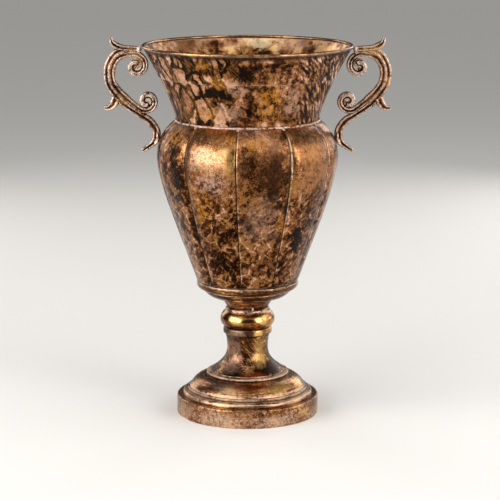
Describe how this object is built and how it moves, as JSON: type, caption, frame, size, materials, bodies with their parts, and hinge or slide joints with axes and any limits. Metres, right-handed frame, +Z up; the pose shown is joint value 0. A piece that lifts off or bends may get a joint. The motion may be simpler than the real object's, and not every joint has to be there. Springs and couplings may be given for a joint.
{
  "type": "metal flower pot",
  "caption": "Pedestal flower pot of gilded sheet metal with a flared neck, lobed body, turned stem, round stepped foot and two scroll handles.",
  "frame": {"origin": "centre of the foot, on the surface that the pot stands on", "axes": "+Z up along the axis of the pot, X through the two handles, -Y towards the viewer in the picture"},
  "size_m": [0.3056, 0.2242, 0.4069],
  "materials": {
    "rim_gilt": "antique gold, rubbed",
    "neck_gilt": "antique copper gold with a pale wash",
    "body_gilt": "antique copper gold with dark mottling",
    "cap_gilt": "antique gold, polished bead",
    "stem_gilt": "antique copper gold with a pale wash",
    "knop_gilt": "antique gold, rubbed bright",
    "foot_gilt": "antique copper gold with a pale wash",
    "plinth_gilt": "speckled antique copper",
    "handle_casting": "dark brown with dry-brushed gold edges",
    "zinc_steel": "zinc plated",
    "raw_steel": "mill scale"
  },
  "bodies": {
    "root": {"rim_wire": "rim_gilt", "neck_flare": "neck_gilt", "neck_cone": "neck_gilt", "body_gore_01": "body_gilt", "body_gore_02": "body_gilt", "body_gore_03": "body_gilt", "body_gore_04": "body_gilt", "body_gore_05": "body_gilt", "body_gore_06": "body_gilt", "body_gore_07": "body_gilt", "body_gore_08": "body_gilt", "body_gore_09": "body_gilt", "body_gore_10": "body_gilt", "base_cap": "cap_gilt", "collar": "stem_gilt", "knop": "knop_gilt", "stem": "stem_gilt", "foot_dome": "foot_gilt", "foot_plinth": "plinth_gilt", "handle_right": "handle_casting", "handle_left": "handle_casting", "tie_rod": "zinc_steel", "floor_washer": "zinc_steel", "floor_nut": "zinc_steel", "clamp_plate": "raw_steel", "foot_washer": "zinc_steel", "foot_nut": "zinc_steel"}
  },
  "joints": []
}
